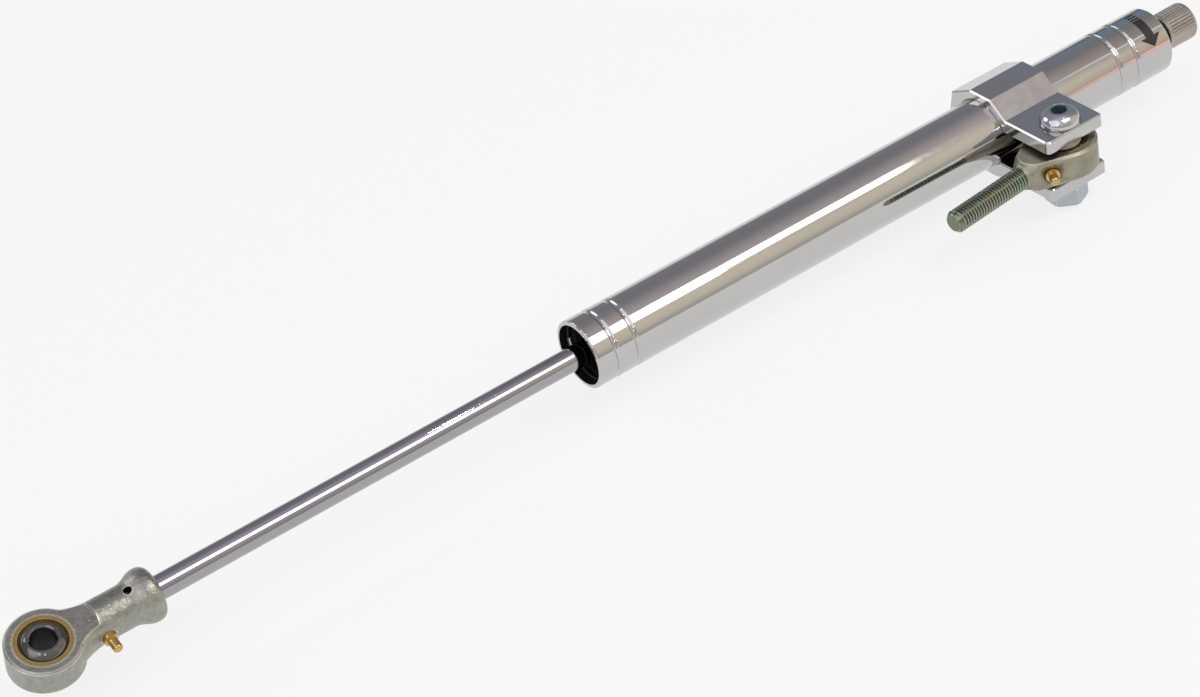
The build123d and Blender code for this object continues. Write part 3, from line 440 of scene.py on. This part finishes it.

# Finishes by name: two tones that patches mix, the range of roughness, and what else the surface has.
# The edge colour paints highlights along edges, with rubbed wear on the castings, and the hole colour
# paints shade into bores
finishes = {
    # Tube: the edge colour paints highlights on the mouth rim and groove shoulders; the hole colour
    # paints shade, with oil stain, in the bore
    "polishedAluminium": {
        "colour": (0.555, 0.55, 0.54), "tint": (0.515, 0.51, 0.50), "roughness": (0.045, 0.085),
        "wornAndSheenColour": (0.74, 0.74, 0.73), "wornAndSheenRadius": 0.0003, "patchScale": 30.0,
        "bump": (drawnLines, {"Along": 8.0, "Across": 2500.0}, 0.000002),
        "hole": {"Axis": (1.0, 0.0, 0.0), "Radius": 0.0106}, "holeShadeAndStainColour": (0.040, 0.038, 0.040),
    },
    # Clamp: the edge colour paints highlights on the rounded corners
    "polishedClamp": {
        "colour": (0.56, 0.555, 0.55), "tint": (0.51, 0.505, 0.50), "roughness": (0.09, 0.16),
        "wornAndSheenColour": (0.80, 0.80, 0.79), "wornAndSheenRadius": 0.0005, "patchScale": 60.0,
        "bump": (castSkin, {"Grain": 900.0, "Swell": 60.0}, 0.00001),
    },
    "rodChrome": {
        "colour": (0.395, 0.39, 0.40), "tint": (0.365, 0.36, 0.375), "roughness": (0.025, 0.05),
        "patchScale": 40.0,
        "bump": (drawnLines, {"Along": 4000.0, "Across": 6.0}, 0.000001),
    },
    # Fork ball: the hole colour paints shade in the bore
    "forkBallChrome": {
        "colour": (0.21, 0.21, 0.205), "tint": (0.15, 0.15, 0.15), "roughness": (0.05, 0.12),
        "patchScale": 200.0,
        "hole": {"Axis": forkNormal, "Radius": 0.00405}, "holeShadeAndStainColour": (0.026, 0.026, 0.028),
    },
    # Frame ball: the hole colour paints shade in the bore
    "frameBallChrome": {
        "colour": (0.34, 0.34, 0.33), "tint": (0.26, 0.26, 0.25), "roughness": (0.05, 0.12),
        "patchScale": 200.0,
        "hole": {"Centre": frameEye, "Radius": 0.00405}, "holeShadeAndStainColour": (0.026, 0.026, 0.028),
    },
    # Fork end: the edge colour is painted highlight with rubbed wear on the edges; the hole colour
    # paints shade in the small hole of the shank
    "forkCasting": {
        "colour": (0.385, 0.395, 0.34), "tint": (0.29, 0.30, 0.255), "roughness": (0.24, 0.42),
        "wornAndSheenColour": (0.90, 0.90, 0.80), "wornAndSheenRadius": 0.0009, "wornAndSheenGain": 7.0, "patchScale": 600.0,
        "contrast": 2.4, "bump": (castSkin, {"Grain": 2600.0, "Swell": 700.0}, 0.00022),
        "hole": {"Centre": (0.0288, 0.0, 0.0), "Axis": forkNormal, "Radius": 0.00135, "From": 0.004},
        "holeShadeAndStainColour": (0.010, 0.010, 0.010),
    },
    "frameCasting": {
        "colour": (0.37, 0.355, 0.27), "tint": (0.27, 0.26, 0.20), "roughness": (0.32, 0.48),
        "wornAndSheenColour": (0.76, 0.74, 0.60), "wornAndSheenRadius": 0.0008, "wornAndSheenGain": 5.0, "patchScale": 190.0,
        "bump": (castSkin, {"Grain": 1600.0, "Swell": 300.0}, 0.00014),
    },
    # Stud: the bright edge colour paints highlights along the thread crests
    "studZinc": {
        "colour": (0.16, 0.225, 0.19), "tint": (0.22, 0.20, 0.13), "roughness": (0.09, 0.20),
        "wornAndSheenColour": (0.78, 0.84, 0.78), "wornAndSheenRadius": 0.0002, "patchScale": 300.0, "contrast": 3.0,
    },
    "brass": {
        "colour": (0.52, 0.39, 0.14), "tint": (0.38, 0.29, 0.11), "roughness": (0.20, 0.36),
        "wornAndSheenColour": (0.92, 0.72, 0.32), "wornAndSheenRadius": 0.0009, "patchScale": 300.0,
        "bump": (castSkin, {"Grain": 2500.0, "Swell": 500.0}, 0.000006),
    },
    # Grease nipples: a lighter copy of the brass, a painted highlight; the edge colour paints highlights
    # too
    "nippleBrass": {
        "colour": (0.66, 0.47, 0.20), "tint": (0.50, 0.33, 0.12), "roughness": (0.16, 0.30),
        "wornAndSheenColour": (0.84, 0.68, 0.40), "wornAndSheenRadius": 0.0003, "patchScale": 300.0,
        "bump": (castSkin, {"Grain": 2500.0, "Swell": 500.0}, 0.000006),
    },
    # Clamp screw: the hole colour paints shade, tinted teal, in the socket
    "brightScrew": {
        "colour": (0.58, 0.59, 0.61), "tint": (0.50, 0.51, 0.53), "roughness": (0.06, 0.13),
        "wornAndSheenColour": (0.88, 0.89, 0.91), "wornAndSheenRadius": 0.0003, "patchScale": 200.0,
        "hole": {"Centre": frameEye, "Radius": 0.00292, "From": 0.0125},
        "holeShadeAndStainColour": (0.15, 0.22, 0.24),
    },
    "zincNut": {
        "colour": (0.46, 0.49, 0.51), "tint": (0.39, 0.42, 0.44), "roughness": (0.22, 0.36),
        "wornAndSheenColour": (0.78, 0.82, 0.86), "wornAndSheenRadius": 0.0004, "patchScale": 200.0,
        "bump": (castSkin, {"Grain": 2500.0, "Swell": 300.0}, 0.00002),
    },
    "knobAluminium": {
        "colour": (0.45, 0.43, 0.40), "tint": (0.38, 0.36, 0.335), "roughness": (0.30, 0.44),
        "wornAndSheenColour": (0.70, 0.69, 0.66), "wornAndSheenRadius": 0.0002, "patchScale": 200.0,
        "bump": (drawnLines, {"Along": 20.0, "Across": 6000.0}, 0.00003),
    },
    "blackAnodised": {
        "colour": (0.034, 0.032, 0.035), "tint": (0.050, 0.047, 0.050), "roughness": (0.30, 0.44),
        "wornAndSheenColour": (0.06, 0.06, 0.06), "wornAndSheenRadius": 0.0002, "patchScale": 200.0, "metallic": 0.6,
    },
    "blackOxide": {
        "colour": (0.030, 0.029, 0.030), "tint": (0.050, 0.047, 0.044), "roughness": (0.30, 0.44),
        "patchScale": 300.0,
    },
    "innerSteel": {
        "colour": (0.50, 0.50, 0.51), "tint": (0.43, 0.43, 0.44), "roughness": (0.22, 0.36),
        "wornAndSheenColour": (0.70, 0.70, 0.71), "wornAndSheenRadius": 0.0003, "patchScale": 150.0,
        "bump": (drawnLines, {"Along": 5000.0, "Across": 8.0}, 0.000004),
    },
    "springSteel": {
        "colour": (0.32, 0.32, 0.34), "tint": (0.25, 0.25, 0.27), "roughness": (0.25, 0.40),
        "patchScale": 300.0,
    },
    "sealRubber": {
        "colour": (0.016, 0.016, 0.017), "tint": (0.026, 0.026, 0.027), "roughness": (0.55, 0.75),
        "patchScale": 250.0, "metallic": 0.0,
        "bump": (castSkin, {"Grain": 4000.0, "Swell": 600.0}, 0.00002),
    },
    "bandPlastic": {
        "colour": (0.22, 0.17, 0.10), "tint": (0.17, 0.13, 0.08), "roughness": (0.45, 0.60),
        "patchScale": 300.0, "metallic": 0.0,
    },
    "decalInk": {
        "colour": (0.010, 0.010, 0.010), "tint": (0.018, 0.018, 0.018), "roughness": (0.40, 0.55),
        "patchScale": 400.0, "metallic": 0.0,
    },
}

# Nodes that each finish goes on
finishOf = {
    "polishedAluminium": ["outer_tube"],
    "polishedClamp": ["tube_clamp"],
    "rodChrome": ["piston_rod"],
    "forkBallChrome": ["fork_end_ball"],
    "frameBallChrome": ["frame_end_ball"],
    "forkCasting": ["fork_end_housing"],
    "frameCasting": ["frame_end_housing"],
    "brass": ["fork_end_race", "frame_end_race", "guide_bush"],
    "nippleBrass": ["fork_end_nipple", "frame_end_nipple"],
    "brightScrew": ["clamp_screw"],
    "zincNut": ["clamp_nut"],
    "knobAluminium": ["knob"],
    "blackAnodised": ["rod_guide", "valve_body"],
    "blackOxide": ["retaining_ring", "knob_screw"],
    "innerSteel": [
        "inner_cylinder", "piston", "piston_nut", "valve_shims", "check_disc", "check_clip",
        "adjuster_spindle", "spindle_clip",
    ],
    "springSteel": ["seal_spring", "check_spring", "detent_spring", "detent_ball"],
    "sealRubber": [
        "guide_o_ring", "body_o_ring", "spindle_o_ring", "wiper_ring", "rod_seal", "rebound_bumper",
    ],
    "bandPlastic": ["piston_band"],
}
materials = {name: makeFinish(name, look) for name, look in finishes.items()}
for finish, names in finishOf.items():
    for name in names:
        for slot in nodes[name].material_slots:
            slot.material = materials[finish]
print("finishes on", sum(len(names) for names in finishOf.values()), "nodes")


# Frame end with a rolled thread on its stud, in place of the plain node
stud = {
    "ballCentre": frameEye,
    "angle": 5.5,  # degrees that the stud turns away from the tube
    "threadStart": 0.0208,  # from the ball centre
    "threadEnd": 0.0530,
    "pitch": 0.00125,
    "crestRadius": 0.00397,
    "rootRadius": 0.00338,
    "tipRadius": 0.0030,
    "tipChamfer": 0.0011,
    "crestShare": 0.16,  # of the pitch
    "rootShare": 0.26,
    "turnSteps": 40,
    "weldGap": 0.000002,
    "tinyEdge": 0.000001,
    "sharpAngle": 28,  # degrees between faces that keep a hard edge
}


def makeStudThread(plan):
    steps = plan["turnSteps"]
    pitch = plan["pitch"]
    start = plan["threadStart"]
    end = plan["threadEnd"]
    flank = (1 - plan["crestShare"] - plan["rootShare"]) / 2
    crest = plan["crestRadius"]
    root = plan["rootRadius"]
    marks = [
        (0, crest), (plan["crestShare"], crest), (plan["crestShare"] + flank, root),
        (1 - flank, root), (1, crest),
    ]
    turns = math.ceil((end - start) / pitch) + 1
    grid = []
    mesh = bmesh.new()
    for step in range(turns * steps + 1):
        angle = 2 * math.pi * step / steps
        row = []
        for share, radius in marks:
            along = start + pitch * (step / steps - 1 + share)
            kept = min(max(along, start), end)
            taper = plan["tipRadius"] + (end - kept) / plan["tipChamfer"] * (crest - plan["tipRadius"])
            reach = min(radius, taper)
            row.append(mesh.verts.new((kept, reach * math.cos(angle), reach * math.sin(angle))))
        grid.append(row)
    for row, following in zip(grid, grid[1:]):
        for i in range(len(marks) - 1):
            mesh.faces.new((row[i], row[i + 1], following[i + 1], following[i]))
    bmesh.ops.remove_doubles(mesh, verts=mesh.verts, dist=plan["weldGap"])
    bmesh.ops.dissolve_degenerate(mesh, edges=mesh.edges, dist=plan["tinyEdge"])
    bmesh.ops.holes_fill(mesh, edges=mesh.edges, sides=0)
    bmesh.ops.recalc_face_normals(mesh, faces=mesh.faces)
    return mesh


def makeThreadedFrameEnd(plan):
    lean = math.radians(plan["angle"])
    along = Vector((-math.cos(lean), -math.sin(lean), 0))
    across = Vector((0, 0, 1)).cross(along)
    centre = Vector(plan["ballCentre"])
    place = Matrix((along, across, Vector((0, 0, 1)))).transposed().to_4x4()
    place.translation = centre
    body = bmesh.new()
    body.from_mesh(nodes["frame_end_housing"].data)
    bmesh.ops.remove_doubles(body, verts=body.verts, dist=plan["tinyEdge"])
    cutAt = centre + along * plan["threadStart"]
    everything = body.verts[:] + body.edges[:] + body.faces[:]
    cut = bmesh.ops.bisect_plane(body, geom=everything, plane_co=cutAt, plane_no=along, clear_outer=True)
    rim = [item for item in cut["geom_cut"] if isinstance(item, bmesh.types.BMEdge)]
    bmesh.ops.edgeloop_fill(body, edges=rim)
    for face in body.faces:
        face.material_index = 0
    thread = makeStudThread(plan)
    thread.transform(place)
    for face in thread.faces:
        face.material_index = 1
    threadMesh = bpy.data.meshes.new("thread")
    thread.to_mesh(threadMesh)
    body.from_mesh(threadMesh)
    mesh = bpy.data.meshes.new("threadedFrameEnd")
    body.to_mesh(mesh)
    body.free()
    thread.free()
    bpy.data.meshes.remove(threadMesh)
    mesh.materials.append(materials["frameCasting"])
    mesh.materials.append(materials["studZinc"])
    mesh.shade_smooth()
    mesh.set_sharp_from_angle(angle=math.radians(plan["sharpAngle"]))
    piece = bpy.data.objects.new("threadedFrameEnd", mesh)
    bpy.context.scene.collection.objects.link(piece)
    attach(piece, "frame_end")
    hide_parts("frame_end_housing")


makeThreadedFrameEnd(stud)
print("stud threaded")


# Plain arrow and stripes wrapped round the tube beside the knob
arrow = {
    "middle": 0.4357,  # along the tube
    "tubeRadius": 0.0120,
    "lift": 0.00004,
    "shaftWidth": 0.0036,
    "headWidth": 0.0086,
    "tipWidth": 0.00005,
    "shaftTurns": (80, 43),  # degrees about the tube, 0 in front and 90 on top
    "headTurns": (43, 24.5),
    "stripeTurns": (84, 91, 98),
    "stripeSpread": 3.2,
    "turnStep": 1.0,  # degrees between the rows of vertices
}


def wrappedBand(mesh, plan, fromTurn, toTurn, widthFrom, widthTo):
    steps = max(2, round(abs(toTurn - fromTurn) / plan["turnStep"]))
    radius = plan["tubeRadius"] + plan["lift"]
    previous = None
    for step in range(steps + 1):
        share = step / steps
        turn = math.radians(fromTurn + (toTurn - fromTurn) * share)
        half = (widthFrom + (widthTo - widthFrom) * share) / 2
        y = -radius * math.cos(turn)
        z = radius * math.sin(turn)
        row = [mesh.verts.new((plan["middle"] + side * half, y, z)) for side in (-1, 1)]
        if previous:
            mesh.faces.new((previous[0], previous[1], row[1], row[0]))
        previous = row


def makeArrow(plan):
    mesh = bmesh.new()
    wrappedBand(mesh, plan, *plan["shaftTurns"], plan["shaftWidth"], plan["shaftWidth"])
    wrappedBand(mesh, plan, *plan["headTurns"], plan["headWidth"], plan["tipWidth"])
    for turn in plan["stripeTurns"]:
        half = plan["stripeSpread"] / 2
        wrappedBand(mesh, plan, turn + half, turn - half, plan["shaftWidth"], plan["shaftWidth"])
    bmesh.ops.recalc_face_normals(mesh, faces=mesh.faces)
    data = bpy.data.meshes.new("tubeArrow")
    mesh.to_mesh(data)
    mesh.free()
    data.materials.append(materials["decalInk"])
    data.shade_smooth()
    piece = bpy.data.objects.new("tubeArrow", data)
    bpy.context.scene.collection.objects.link(piece)
    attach(piece, "damper")


makeArrow(arrow)
print("arrow laid on the tube")
